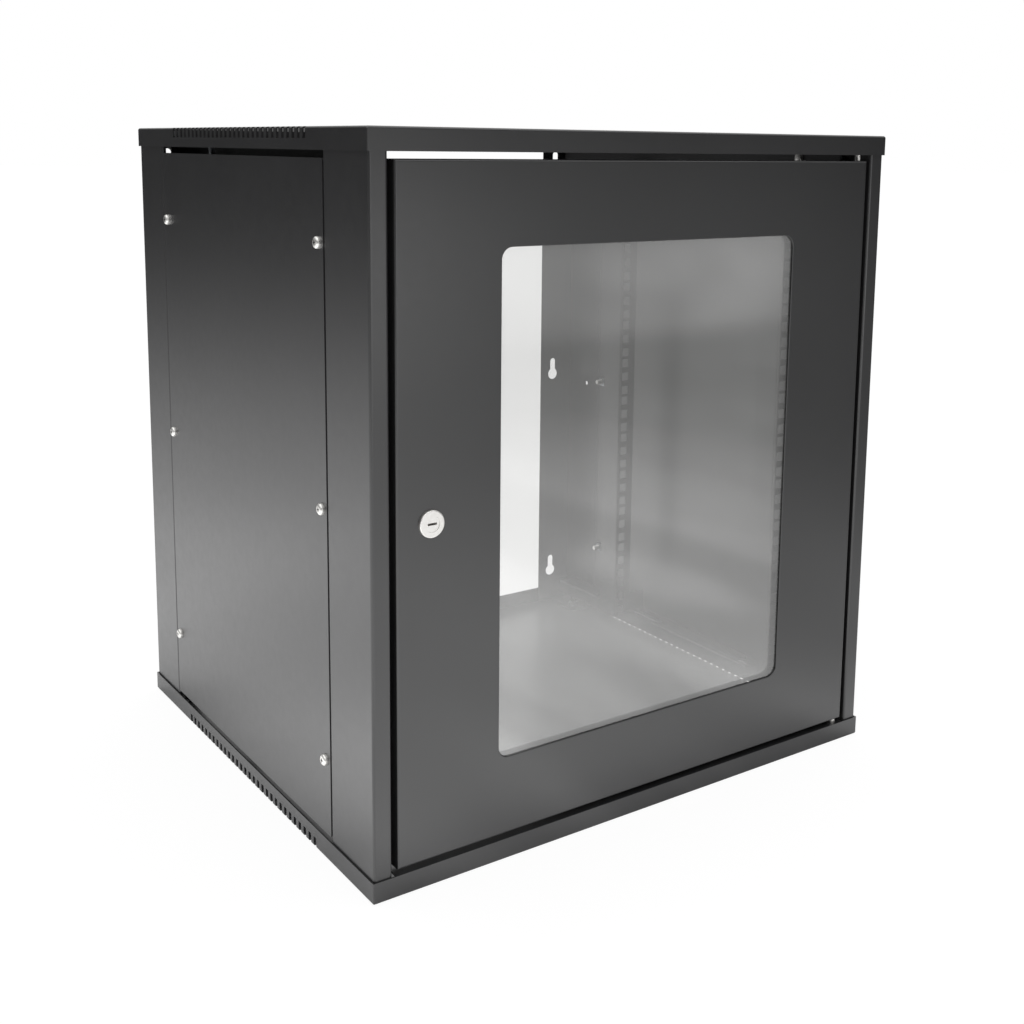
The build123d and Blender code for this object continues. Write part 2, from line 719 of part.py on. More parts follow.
# Folded clips that hold the pane, and their nuts
clip_lift = tape_thick + pane_thick
with BuildPart() as window_clips:
    for seat in clip_planes:
        with BuildSketch(seat):
            with BuildLine():
                FilletPolyline(
                    (clip_foot, clip_sheet / 2),
                    (clip_riser, clip_sheet / 2),
                    (clip_riser, clip_lift + clip_sheet / 2),
                    (-clip_finger, clip_lift + clip_sheet / 2),
                    radius=clip_bend,
                )
            trace(line_width=clip_sheet)
        extrude(amount=clip_width / 2, both=True)
    for seat in clip_stud_planes:
        with BuildSketch(seat):
            Circle(clip_stud_radius + slip_gap)
        extrude(amount=clip_sheet, mode=Mode.SUBTRACT)
keep(window_clips.part, "window_clips")
with BuildPart() as window_clip_nuts:
    for seat in clip_stud_planes:
        with BuildSketch(seat.offset(clip_sheet)):
            RegularPolygon(clip_nut_flats / 2, 6, major_radius=False)
            Circle(clip_stud_radius + running_gap, mode=Mode.SUBTRACT)
        extrude(amount=clip_nut_height)
keep(window_clip_nuts.part, "window_clip_nuts")

# Rubber bumpers on the strike flange behind the free edge of the door
with BuildPart() as door_bumpers:
    with BuildSketch(at_y(strike_front)):
        with Locations((-(door_half - door_hem / 2), door_mid)):
            with GridLocations(0, bumper_spacing, 1, 2):
                Circle(bumper_radius)
    extrude(amount=strike_front - door_back - bumper_gap)
keep(door_bumpers.part, "door_bumpers")

# Hinge brackets welded inside the door: a back plate with two ears for the pin
for name, low in (
    ("lower_hinge_bracket", lower_ear_z),
    ("upper_hinge_bracket", upper_ear_z - hinge_plate_height),
):
    with BuildPart() as hinge_bracket:
        plate_side = door_half - sheet - slip_gap
        with BuildSketch(Plane.XY.offset(low)):
            bar(plate_side - hinge_plate_width, plate_side, door_inside, door_inside + sheet)
        extrude(amount=hinge_plate_height)
        for level in (low, low + hinge_plate_height - sheet):
            with BuildSketch(Plane.XY.offset(level)):
                bar(plate_side - hinge_plate_width, plate_side, door_inside, door_inside + hinge_ear_depth)
                with Locations((hinge_x, hinge_y)):
                    Circle(hinge_hole, mode=Mode.SUBTRACT)
            extrude(amount=sheet)
    keep(hinge_bracket.part, name)

# Lower hinge pin: fixed in the door, with a thrust collar on the bottom tray's lip
with BuildPart() as lower_hinge_pin:
    with BuildSketch(Plane.XY.offset(flange_top - pin_reach)):
        with Locations((hinge_x, hinge_y)):
            Circle(pin_radius)
    extrude(amount=pin_reach + lower_ear_z + hinge_plate_height + pin_tail - flange_top)
    with BuildSketch(Plane.XY.offset(flange_top + running_gap)):
        with Locations((hinge_x, hinge_y)):
            Circle(pin_collar_radius)
    extrude(amount=door_bottom_gap - running_gap)
keep(lower_hinge_pin.part, "lower_hinge_pin")

# Upper hinge pin: sprung upwards, drawn down by its finger lever to lift the door out
pin_foot = upper_ear_z - hinge_plate_height - pin_tail
collar_top = upper_ear_z - sheet
with BuildPart() as upper_hinge_pin:
    with BuildSketch(Plane.XY.offset(pin_foot)):
        with Locations((hinge_x, hinge_y)):
            Circle(pin_radius)
    extrude(amount=flange_roof + pin_reach - pin_foot)
    with BuildSketch(Plane.XY.offset(collar_top - pin_collar_height)):
        with Locations((hinge_x, hinge_y)):
            Circle(pin_collar_radius)
    extrude(amount=pin_collar_height)
    with BuildSketch(Plane.YZ.offset(hinge_x)):
        with Locations((hinge_y, pin_foot + 2 * lever_radius)):
            Circle(lever_radius)
    extrude(amount=-lever_length)
keep(upper_hinge_pin.part, "upper_hinge_pin")

# Compression spring between the lower ear and the pin's collar
spring_base = upper_ear_z - hinge_plate_height + sheet
spring_room = collar_top - pin_collar_height - spring_base
spring_rise = spring_room - 2 * spring_wire_radius
with BuildPart() as hinge_spring:
    with BuildLine() as coil:
        Helix(
            pitch=spring_rise / spring_turns,
            height=spring_rise,
            radius=spring_mean_radius,
            center=(hinge_x, hinge_y, spring_base + spring_wire_radius),
        )
    with BuildSketch(Plane(origin=coil.line @ 0, z_dir=coil.line % 0)):
        RegularPolygon(spring_wire_radius, 6)
    sweep(is_frenet=True)
keep(hinge_spring.part, "hinge_spring")

# Cam lock barrel: a round face on the door and a bored barrel through it
with BuildPart() as lock_barrel:
    with BuildSketch(at_y(door_front)):
        with Locations((lock_x, door_mid)):
            Circle(lock_face_radius)
    extrude(amount=lock_face_height)
    fillet(lock_barrel.edges().group_by(Axis.Y)[0], radius=lock_face_round)
    with BuildSketch(at_y(door_front)):
        with Locations((lock_x, door_mid)):
            Circle(barrel_radius)
            Rectangle(2 * barrel_radius, 2 * barrel_flat, mode=Mode.INTERSECT)
    extrude(amount=-(barrel_back - door_front))
    with BuildSketch(at_y(door_front - lock_face_height)):
        with Locations((lock_x, door_mid)):
            Circle(barrel_bore_radius)
    extrude(amount=-(barrel_back - door_front + lock_face_height), mode=Mode.SUBTRACT)
keep(lock_barrel.part, "lock_barrel")

# Flat nut that clamps the barrel to the door
with BuildPart() as lock_nut:
    with BuildSketch(at_y(door_inside)):
        with Locations((lock_x, door_mid)):
            RegularPolygon(lock_nut_flats / 2, 6, major_radius=False)
            Circle(barrel_radius + running_gap, mode=Mode.SUBTRACT)
    extrude(amount=-lock_nut_height)
keep(lock_nut.part, "lock_nut")

# Lock plug with its key slot and square drive
plug_front = door_front - lock_face_height + plug_recess
with BuildPart() as lock_plug:
    with BuildSketch(at_y(plug_front)):
        with Locations((lock_x, door_mid)):
            Circle(plug_radius)
    extrude(amount=-(barrel_back - plug_front))
    with BuildSketch(at_y(barrel_back)):
        with Locations((lock_x, door_mid)):
            Rectangle(cam_square, cam_square)
    extrude(amount=-(cam_back - barrel_back))
    with BuildSketch(at_y(plug_front)):
        with Locations((lock_x, door_mid)):
            Rectangle(key_slot_length, key_slot_width)
    extrude(amount=-key_slot_depth, mode=Mode.SUBTRACT)
    with BuildSketch(at_y(cam_back)):
        with Locations((lock_x, door_mid)):
            Circle(cam_screw_radius + running_gap)
    extrude(amount=cam_screw_length, mode=Mode.SUBTRACT)
keep(lock_plug.part, "lock_plug")

# Cam, hanging down when unlocked, and the screw that holds it on the plug
with BuildPart() as lock_cam:
    with BuildSketch(at_y(cam_front)):
        with Locations((lock_x, door_mid)):
            Circle(cam_hub_radius)
        with Locations((lock_x, door_mid - cam_reach)):
            Circle(cam_tip_radius)
        make_hull()
        with Locations((lock_x, door_mid)):
            Rectangle(cam_square + 2 * running_gap, cam_square + 2 * running_gap, mode=Mode.SUBTRACT)
    extrude(amount=-cam_thick)
keep(lock_cam.part, "lock_cam")
with BuildPart() as cam_screw:
    with BuildSketch(at_y(cam_back)):
        with Locations((lock_x, door_mid)):
            Circle(cam_screw_head_radius)
    extrude(amount=-cam_screw_head_height)
    fillet(cam_screw.edges().group_by(Axis.Y)[-1], radius=cam_screw_head_height / 2)
    with BuildSketch(at_y(cam_back)):
        with Locations((lock_x, door_mid)):
            Circle(cam_screw_radius)
    extrude(amount=cam_screw_length)
keep(cam_screw.part, "cam_screw")
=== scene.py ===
"""Wall mount network cabinet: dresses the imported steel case, models its fasteners, and sets camera and studio."""

import json
import logging
import math
from dataclasses import dataclass, field
from enum import Enum

import bmesh
import bpy
from bmesh.types import BMEdge, BMesh, BMVert
from mathutils import Matrix, Vector


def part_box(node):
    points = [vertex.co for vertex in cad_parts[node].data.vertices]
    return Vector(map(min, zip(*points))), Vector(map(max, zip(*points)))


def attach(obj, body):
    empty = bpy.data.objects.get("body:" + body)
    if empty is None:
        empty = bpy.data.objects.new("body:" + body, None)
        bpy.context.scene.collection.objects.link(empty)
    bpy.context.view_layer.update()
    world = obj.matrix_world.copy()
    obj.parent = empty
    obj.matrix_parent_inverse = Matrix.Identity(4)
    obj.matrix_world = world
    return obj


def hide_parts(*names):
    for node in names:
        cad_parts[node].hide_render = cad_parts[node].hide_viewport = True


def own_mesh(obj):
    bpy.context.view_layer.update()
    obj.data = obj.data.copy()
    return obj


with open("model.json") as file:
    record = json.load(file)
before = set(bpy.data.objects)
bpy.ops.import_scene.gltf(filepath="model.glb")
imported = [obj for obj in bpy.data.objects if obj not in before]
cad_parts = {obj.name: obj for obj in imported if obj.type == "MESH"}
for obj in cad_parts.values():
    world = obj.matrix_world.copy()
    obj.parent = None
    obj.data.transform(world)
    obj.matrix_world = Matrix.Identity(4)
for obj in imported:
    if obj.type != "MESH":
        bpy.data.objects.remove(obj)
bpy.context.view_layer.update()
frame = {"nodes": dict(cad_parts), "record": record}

MM = 0.001
LOG = logging.getLogger("cabinet")

# Modelled shapes: edges round a circle, the angle that stays sharp, and how close vertices count as one
SIDES = 24
SHARP = math.radians(38)
WELD = 0.001 * MM
# Steps of a quarter turn, for rounded heads
QUARTER = [math.radians(15 * step) for step in range(7)]
# Thread roots and tips as a share of the crest radius, and the cone on nuts and bolt heads
ROOT_SHARE = 0.86
TIP_SHARE = 0.8
CHAMFER = math.tan(math.radians(30))

# Numbers of the colour sockets on Blender's mix node, and the range that most of a noise lies in
COLOUR_A, COLOUR_B, COLOUR_OUT = 6, 7, 2
NOISE_SPAN = (0.3, 0.7)
SMOOTH = {"interpolation_type": "SMOOTHSTEP"}
WHITE = (1.0, 1.0, 1.0, 1.0)


class Slot(Enum):
    """The record's material slots."""

    PAINT = "case_paint"
    NICKEL = "nickel_steel"
    ZINC = "zinc_steel"
    RUBBER = "black_rubber"
    PANE = "clear_pane"


class Facing(Enum):
    """The way that a fastener's head or a nut's outer face looks, in the row frame."""

    LEFT = (-1, 0, 0)
    RIGHT = (1, 0, 0)
    FRONT = (0, -1, 0)
    BACK = (0, 1, 0)
    UP = (0, 0, 1)
    DOWN = (0, 0, -1)


def linear(hex_colour: str) -> tuple[float, float, float, float]:
    """Turn an sRGB hex colour into linear light.

    Args:
        hex_colour: Six hex digits with a leading hash.

    Returns:
        Red, green, blue and an alpha of one.
    """
    parts = [int(hex_colour[i:i + 2], 16) / 255 for i in (1, 3, 5)]
    return (*[c / 12.92 if c <= 0.04045 else ((c + 0.055) / 1.055) ** 2.4 for c in parts], 1.0)


def per_metre(size_mm: float) -> float:
    """Return a texture's scale for features of a size in millimetres."""
    return 1 / (size_mm * MM)


def add(tree: bpy.types.NodeTree, kind: str, sockets: dict | None = None, **settings: object) -> bpy.types.Node:
    """Add one node with its settings, socket values and links.

    Args:
        tree: The node tree to add to.
        kind: The node's type name.
        sockets: Input names or numbers with a value, or with the output socket to link from.
        settings: Properties of the node itself.

    Returns:
        The new node.
    """
    node = tree.nodes.new(kind)
    for name, value in settings.items():
        setattr(node, name, value)
    for key, value in (sockets or {}).items():
        if isinstance(value, bpy.types.NodeSocket):
            tree.links.new(value, node.inputs[key])
        else:
            node.inputs[key].default_value = value
    return node


def new_tree(name: str) -> tuple[bpy.types.Material, bpy.types.NodeTree, bpy.types.NodeSocket]:
    """Start an empty material.

    Args:
        name: The material's name.

    Returns:
        The material, its node tree and the object coordinates.
    """
    material = bpy.data.materials.new(name)
    material.use_nodes = True
    tree = material.node_tree
    tree.nodes.clear()
    return material, tree, add(tree, "ShaderNodeTexCoord").outputs["Object"]


def direct_view(tree: bpy.types.NodeTree) -> bpy.types.NodeSocket:
    """Return one for rays from the camera or through the pane, and zero for light and reflections."""
    path = add(tree, "ShaderNodeLightPath")
    return add(tree, "ShaderNodeMath",
               {0: path.outputs["Is Camera Ray"], 1: path.outputs["Is Transmission Ray"]},
               operation="MAXIMUM").outputs[0]


@dataclass(frozen=True)
class Fade:
    """A change from a first to a last level while a value goes from start to end."""

    start: float
    end: float
    first: float
    last: float

    def sockets(self, value: bpy.types.NodeSocket) -> dict:
        """Return the inputs of a map range node that fades with a value."""
        return {"Value": value, "From Min": self.start, "From Max": self.end,
                "To Min": self.first, "To Max": self.last}


@dataclass(frozen=True)
class PowderCoat:
    """Satin black polyester powder coat on sheet steel: a fine orange peel that softens a clear reflection."""

    name: str = "satin_black_powder_coat"
    dark: str = "#1e1e1f"
    light: str = "#272728"
    roughness: tuple[float, float] = (0.29, 0.33)
    ior: float = 1.8
    cloud_mm: float = 90.0
    # Real orange peel is about 0.6 mm across, drawn coarser here so that it shows
    peel_mm: float = 1.6
    peel_depth_mm: float = 0.012
    peel_strength: float = 0.06
    specks_per_cloud: int = 12

    def material(self) -> bpy.types.Material:
        """Build the paint.

        Returns:
            The material.
        """
        made, tree, place = new_tree(self.name)
        cloud = add(tree, "ShaderNodeTexNoise",
                    {"Vector": place, "Scale": per_metre(self.cloud_mm), "Detail": 4.0, "Roughness": 0.55})
        colour = add(tree, "ShaderNodeMix",
                     {"Factor": cloud.outputs["Fac"], COLOUR_A: linear(self.dark), COLOUR_B: linear(self.light)},
                     data_type="RGBA")
        speck = add(tree, "ShaderNodeTexNoise",
                    {"Vector": place, "Scale": per_metre(self.cloud_mm / self.specks_per_cloud), "Detail": 3.0})
        gloss = add(tree, "ShaderNodeMapRange", Fade(*NOISE_SPAN, *self.roughness).sockets(speck.outputs["Fac"]))
        peel = add(tree, "ShaderNodeTexNoise",
                   {"Vector": place, "Scale": per_metre(self.peel_mm), "Detail": 0.0})
        bump = add(tree, "ShaderNodeBump",
                   {"Height": peel.outputs["Fac"], "Strength": self.peel_strength,
                    "Distance": self.peel_depth_mm * MM})
        shader = add(tree, "ShaderNodeBsdfPrincipled",
                     {"Base Color": colour.outputs[COLOUR_OUT], "Roughness": gloss.outputs["Result"],
                      "IOR": self.ior, "Normal": bump.outputs["Normal"]})
        add(tree, "ShaderNodeOutputMaterial", {"Surface": shader.outputs["BSDF"]})
        return made


@dataclass(frozen=True)
class PlatedSteel:
    """Electroplated steel: a mirror blurred by barrel-tumbled scuffs, warmer and lighter in nickel than in zinc."""

    name: str
    dark: str
    light: str
    roughness: tuple[float, float]
    scuff_mm: float = 3.0
    grain_mm: float = 0.5
    grain_depth_mm: float = 0.006
    grain_strength: float = 0.25

    def material(self) -> bpy.types.Material:
        """Build the plating.

        Returns:
            The material.
        """
        made, tree, place = new_tree(self.name)
        scuff = add(tree, "ShaderNodeTexNoise",
                    {"Vector": place, "Scale": per_metre(self.scuff_mm), "Detail": 6.0, "Roughness": 0.6})
        colour = add(tree, "ShaderNodeMix",
                     {"Factor": scuff.outputs["Fac"], COLOUR_A: linear(self.dark), COLOUR_B: linear(self.light)},
                     data_type="RGBA")
        gloss = add(tree, "ShaderNodeMapRange", Fade(*NOISE_SPAN, *self.roughness).sockets(scuff.outputs["Fac"]))
        grain = add(tree, "ShaderNodeTexNoise",
                    {"Vector": place, "Scale": per_metre(self.grain_mm), "Detail": 2.0})
        bump = add(tree, "ShaderNodeBump",
                   {"Height": grain.outputs["Fac"], "Strength": self.grain_strength,
                    "Distance": self.grain_depth_mm * MM})
        shader = add(tree, "ShaderNodeBsdfPrincipled",
                     {"Base Color": colour.outputs[COLOUR_OUT], "Roughness": gloss.outputs["Result"],
                      "Metallic": 1.0, "Normal": bump.outputs["Normal"]})
        add(tree, "ShaderNodeOutputMaterial", {"Surface": shader.outputs["BSDF"]})
        return made


@dataclass(frozen=True)
class MattRubber:
    """Moulded or foamed black rubber: no clear reflection, a dusty bloom and a fine pitted skin."""

    name: str
    dark: str = "#121212"
    bloom: str = "#242423"
    roughness: float = 0.72
    bloom_mm: float = 14.0
    pit_mm: float = 0.9
    pit_depth_mm: float = 0.05
    pit_strength: float = 0.5

    def material(self) -> bpy.types.Material:
        """Build the rubber.

        Returns:
            The material.
        """
        made, tree, place = new_tree(self.name)
        dust = add(tree, "ShaderNodeTexNoise",
                   {"Vector": place, "Scale": per_metre(self.bloom_mm), "Detail": 5.0})
        colour = add(tree, "ShaderNodeMix",
                     {"Factor": dust.outputs["Fac"], COLOUR_A: linear(self.dark), COLOUR_B: linear(self.bloom)},
                     data_type="RGBA")
        pits = add(tree, "ShaderNodeTexVoronoi", {"Vector": place, "Scale": per_metre(self.pit_mm)})
        bump = add(tree, "ShaderNodeBump",
                   {"Height": pits.outputs["Distance"], "Strength": self.pit_strength,
                    "Distance": self.pit_depth_mm * MM})
        shader = add(tree, "ShaderNodeBsdfPrincipled",
                     {"Base Color": colour.outputs[COLOUR_OUT], "Roughness": self.roughness,
                      "Normal": bump.outputs["Normal"]})
        add(tree, "ShaderNodeOutputMaterial", {"Surface": shader.outputs["BSDF"]})
        return made


@dataclass(frozen=True)
class ClearPane:
    """Toughened float glass in a thin sheet: clear, slightly grey, with a strong soft mirror of the room."""

    name: str = "toughened_float_glass"
    tint: str = "#f2f2f1"
    # A thin sheet that does not bend light, so that both of its faces mirror the same place
    ior: float = 1.0
    # Mirrors more than plain glass, as in the photograph
    coat_ior: float = 2.1
    coat_roughness: float = 0.09
    smear_mm: float = 70.0
    # Wiped smears, from clear to a trace of blur
    smear: Fade = Fade(0.35, 0.75, 0.0, 0.02)
    # Share of a thin film of dust
    haze: float = 0.08

    def material(self) -> bpy.types.Material:
        """Build the pane.

        Returns:
            The material.
        """
        made, tree, place = new_tree(self.name)
        wipe = add(tree, "ShaderNodeTexNoise",
                   {"Vector": place, "Scale": per_metre(self.smear_mm), "Detail": 3.0})
        gloss = add(tree, "ShaderNodeMapRange", self.smear.sockets(wipe.outputs["Fac"]))
        shader = add(tree, "ShaderNodeBsdfPrincipled",
                     {"Base Color": linear(self.tint), "Roughness": gloss.outputs["Result"], "IOR": self.ior,
                      "Transmission Weight": 1 - self.haze, "Coat Weight": 1.0, "Coat IOR": self.coat_ior,
                      "Coat Roughness": self.coat_roughness})
        clear = add(tree, "ShaderNodeBsdfTransparent", {"Color": linear(self.tint)})
        both = add(tree, "ShaderNodeMixShader", {0: direct_view(tree), 1: clear.outputs[0], 2: shader.outputs[0]})
        add(tree, "ShaderNodeOutputMaterial", {"Surface": both.outputs[0]})
        return made


@dataclass
class Finishes:
    """The materials of the cabinet, one for each kind of surface."""

    paint: bpy.types.Material = field(init=False)
    nickel: bpy.types.Material = field(init=False)
    zinc: bpy.types.Material = field(init=False)
    rubber: bpy.types.Material = field(init=False)
    foam: bpy.types.Material = field(init=False)
    pane: bpy.types.Material = field(init=False)

    def __post_init__(self) -> None:
        """Build every material."""
        self.paint = PowderCoat().material()
        self.nickel = PlatedSteel("bright_nickel_plate", "#e6e4df", "#fcfbf9", (0.36, 0.46)).material()
        self.zinc = PlatedSteel("bright_zinc_plate", "#8d9195", "#bcbfc1", (0.30, 0.48)).material()
        self.rubber = MattRubber("moulded_rubber").material()
        self.foam = MattRubber("closed_cell_foam_tape", roughness=0.9, pit_mm=1.4).material()
        self.pane = ClearPane().material()

    def of_slot(self, slot: Slot) -> bpy.types.Material:
        """Return the material that stands for a slot of the record."""
        return {Slot.PAINT: self.paint, Slot.NICKEL: self.nickel, Slot.ZINC: self.zinc,
                Slot.RUBBER: self.rubber, Slot.PANE: self.pane}[slot]


def paint_node(name: str, material: bpy.types.Material) -> None:
    """Give a carried-over CAD piece its finish."""
    mesh = frame["nodes"][name].data
    mesh.materials.clear()
    mesh.materials.append(material)
    LOG.info("dressed %s in %s", name, material.name)


@dataclass
class SteelCase:
    """All carried-over CAD pieces, dressed from the record's slots."""

    finishes: Finishes
    taped: tuple[str, ...] = ("window_tape",)

    def dress(self) -> None:
        """Put a finish on every CAD node."""
        for row in frame["record"]["subparts"]:
            paint_node(row["node"], self.finishes.of_slot(Slot(row["material_slot"])))
        for name in self.taped:
            paint_node(name, self.finishes.foam)


def edges_of(verts: list[BMVert]) -> list[BMEdge]:
    """Return every edge on some vertices."""
    return list({edge for vert in verts for edge in vert.link_edges})


def ring(bm: BMesh, radius: float, level: float) -> list[BMEdge]:
    """Add an open circle round Z.

    Args:
        bm: The mesh in hand, in millimetres.
        radius: The circle's radius.
        level: Its height.

    Returns:
        Its edges.
    """
    made = bmesh.ops.create_circle(bm, segments=SIDES, radius=radius, matrix=Matrix.Translation((0, 0, level)))
    return edges_of(made["verts"])


def stack(bm: BMesh, stations: list[tuple[float, float]], loop: list[BMEdge]) -> list[BMEdge]:
    """Carry a skin on from an open loop through circles of given radius and level.

    Args:
        bm: The mesh in hand, in millimetres.
        stations: Radius and level of each circle, in order.
        loop: The loop to start from.

    Returns:
        The edges of the last circle.
    """
    for radius, level in stations:
        following = ring(bm, radius, level)
        bmesh.ops.bridge_loops(bm, edges=loop + following)
        loop = following
    return loop


def thread(radius: float, length: float, pitch: float) -> list[tuple[float, float]]:
    """List the crests and roots of a threaded shank from a head at level zero down to its tip.

    Args:
        radius: Radius over the crests.
        length: Length of the shank.
        pitch: Distance from crest to crest.

    Returns:
        Radius and level of each circle.
    """
    halves = range(1, 2 * int(length / pitch))
    rows = [(radius * (ROOT_SHARE if half % 2 else 1.0), -half * pitch / 2) for half in halves]
    return [*rows, (radius * TIP_SHARE, -length)]


def solids(node: str) -> list[tuple[Vector, Vector]]:
    """Find the separate solids of a CAD node.

    Args:
        node: The node's name.

    Returns:
        The lowest and highest corner of each solid.
    """
    bm = bmesh.new()
    bm.from_mesh(frame["nodes"][node].data)
    bmesh.ops.remove_doubles(bm, verts=bm.verts, dist=WELD)
    left, boxes = set(bm.verts), []
    while left:
        edge = {left.pop()}
        reached = set(edge)
        while edge:
            edge = {link.other_vert(vert) for vert in edge for link in vert.link_edges} & left
            left -= edge
            reached |= edge
        spans = [[vert.co[axis] for vert in reached] for axis in range(3)]
        boxes.append((Vector([min(span) for span in spans]), Vector([max(span) for span in spans])))
    bm.free()
    return boxes


def settle(bm: BMesh, name: str, material: bpy.types.Material, body: str) -> bpy.types.Object:
    """Turn a finished mesh into a piece that rides a body.

    Args:
        bm: The mesh, in place in the row frame.
        name: The piece's name.
        material: Its finish.
        body: The body that it moves with.

    Returns:
        The piece.
    """
    bmesh.ops.recalc_face_normals(bm, faces=bm.faces)
    mesh = bpy.data.meshes.new(name)
    bm.to_mesh(mesh)
    bm.free()
    mesh.shade_smooth()
    mesh.set_sharp_from_angle(angle=SHARP)
    mesh.materials.append(material)
    piece = bpy.data.objects.new(name, mesh)
    bpy.context.scene.collection.objects.link(piece)
    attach(piece, body)
    LOG.info("modelled %s on %s, %d faces", name, body, len(mesh.polygons))
    return piece


@dataclass
class Fastener:
    """A modelled shape that stands for a CAD node, with one copy at each of the node's solids."""

    finishes: Finishes
    node: str
    facing: Facing
    turn: float = 0.0

    @property
    def top(self) -> float:
        """Height of the shape above the level it seats on, in millimetres."""
        raise NotImplementedError

    def master(self) -> BMesh:
        """Build one copy, seated on level zero and facing up."""
        raise NotImplementedError

    def places(self) -> list[Matrix]:
        """Work out where the copies go.

        Returns:
            One matrix for each solid, from the master's millimetres to the row frame.
        """
        way = Vector(self.facing.value)
        aim = Vector((0, 0, 1)).rotation_difference(way).to_matrix().to_4x4()
        turn = Matrix.Rotation(math.radians(self.turn), 4, "Z")
        spots = []
        for low, high in solids(self.node):
            reach = abs((high - low).dot(way)) / 2 - self.top * MM
            spots.append(Matrix.Translation((low + high) / 2 + way * reach) @ aim @ turn @ Matrix.Scale(MM, 4))
        return spots

    def gather(self) -> BMesh:
        """Copy the master to its places.

        Returns:
            All copies in one mesh.
        """
        bm = self.master()
        first = bm.verts[:] + bm.edges[:] + bm.faces[:]
        start, *others = self.places()
        for spot in others:
            copy = bmesh.ops.duplicate(bm, geom=first)["geom"]
            bmesh.ops.transform(bm, matrix=spot, verts=[item for item in copy if isinstance(item, BMVert)])
        bmesh.ops.transform(bm, matrix=start, verts=[item for item in first if isinstance(item, BMVert)])
        return bm

    def build(self) -> bpy.types.Object:
        """Let the copies stand for the CAD node.

        Returns:
            The finished piece.
        """
        record = frame["record"]
        slot = next(Slot(row["material_slot"]) for row in record["subparts"] if row["node"] == self.node)
        body = next(name for name, nodes in record["behaviour"]["bodies"].items() if self.node in nodes)
        piece = settle(self.gather(), f"modelled_{self.node}", self.finishes.of_slot(slot), body)
        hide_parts(self.node)
        return piece


@dataclass
class PanScrews(Fastener):
    """Pan head machine screws with a tapered cross recess and a cut thread."""

    head_radius: float = 4.9
    head_height: float = 3.4
    dome_drop: float = 2.2
    shank_radius: float = 3.0
    length: float = 13.0
    pitch: float = 1.0
    recess_span: float = 4.0
    recess_width: float = 0.9
    recess_depth: float = 0.6
    recess_taper: float = 0.35
    crown_share: float = 0.55

    @property
    def top(self) -> float:
        """Height of the head."""
        return self.head_height

    def recess(self, bm: BMesh) -> list[BMEdge]:
        """Sink the cross into the top of the head.

        Args:
            bm: The mesh in hand, still empty.

        Returns:
            The edges of the recess's rim.
        """
        third = self.recess_span / 3
        level = Matrix.Translation((0, 0, self.head_height))
        bmesh.ops.create_grid(bm, x_segments=3, y_segments=3, size=self.recess_span / 2, matrix=level)
        middles = [(face, face.calc_center_median()) for face in bm.faces]
        corners = [face for face, middle in middles if min(abs(middle.x), abs(middle.y)) > third / 2]
        bmesh.ops.delete(bm, geom=corners, context="FACES")
        squeeze = self.recess_width / third
        inner_x = [vert for vert in bm.verts if abs(vert.co.x) < third]
        inner_y = [vert for vert in bm.verts if abs(vert.co.y) < third]
        bmesh.ops.scale(bm, vec=(squeeze, 1, 1), verts=inner_x)
        bmesh.ops.scale(bm, vec=(1, squeeze, 1), verts=inner_y)
        bmesh.ops.inset_region(bm, faces=bm.faces[:], use_boundary=True, use_even_offset=True,
                               thickness=self.recess_taper, depth=-self.recess_depth)
        return [edge for edge in bm.edges if edge.is_boundary]

    def master(self) -> BMesh:
        """Build one screw.

        Returns:
            Its mesh, seated on level zero.
        """
        bm = bmesh.new()
        loop = self.recess(bm)
        crown = self.recess_span * self.crown_share
        dome = [(crown + (self.head_radius - crown) * math.sin(bend),
                 self.head_height - self.dome_drop * (1 - math.cos(bend))) for bend in QUARTER]
        loop = stack(bm, [*dome, (self.head_radius, 0), (self.shank_radius, 0)], loop)
        loop = stack(bm, thread(self.shank_radius, self.length, self.pitch), loop)
        bmesh.ops.edgeloop_fill(bm, edges=loop)
        return bm


@dataclass
class Flatted(Fastener):
    """Common outline of nuts and bolt heads: flats whose corners a cone has drawn in."""

    sides: int = 6
    flats: float = 10.0
    washer_share: float = 0.95

    @property
    def face_radius(self) -> float:
        """Radius of the round face inside the chamfer."""
        return self.washer_share * self.flats / 2

    def outline(self, bm: BMesh, level: float, slope: float) -> list[BMEdge]:
        """Add one open outline with chamfered corners.

        Args:
            bm: The mesh in hand, in millimetres.
            level: The height of the round face that the chamfer starts from.
            slope: Rise of the chamfer for each millimetre outwards.

        Returns:
            Its edges.
        """
        corner = self.flats / 2 / math.cos(math.pi / self.sides)
        turn = Matrix.Rotation(math.pi / 2 if self.sides == 6 else math.pi / self.sides, 4, "Z")
        made = bmesh.ops.create_circle(bm, segments=self.sides, radius=corner,
                                       matrix=Matrix.Translation((0, 0, level)) @ turn)
        cut = bmesh.ops.subdivide_edges(bm, edges=edges_of(made["verts"]), cuts=SIDES // self.sides - 1)
        edges = [item for item in cut["geom_split"] if isinstance(item, BMEdge)]
        for vert in {vert for edge in edges for vert in edge.verts}:
            vert.co.z += slope * (vert.co.xy.length - self.face_radius)
        return edges


@dataclass
class Nuts(Flatted):
    """Nuts chamfered on both faces."""

    height: float = 5.0
    bore: float = 3.05

    @property
    def top(self) -> float:
        """Height of the nut."""
        return self.height

    def master(self) -> BMesh:
        """Build one nut.

        Returns:
            Its mesh, seated on level zero.
        """
        bm = bmesh.new()
        loops = [ring(bm, self.bore, 0), ring(bm, self.face_radius, 0), self.outline(bm, 0, CHAMFER),
                 self.outline(bm, self.height, -CHAMFER), ring(bm, self.face_radius, self.height),
                 ring(bm, self.bore, self.height)]
        for first, second in zip(loops, loops[1:] + loops[:1]):
            bmesh.ops.bridge_loops(bm, edges=first + second)
        return bm


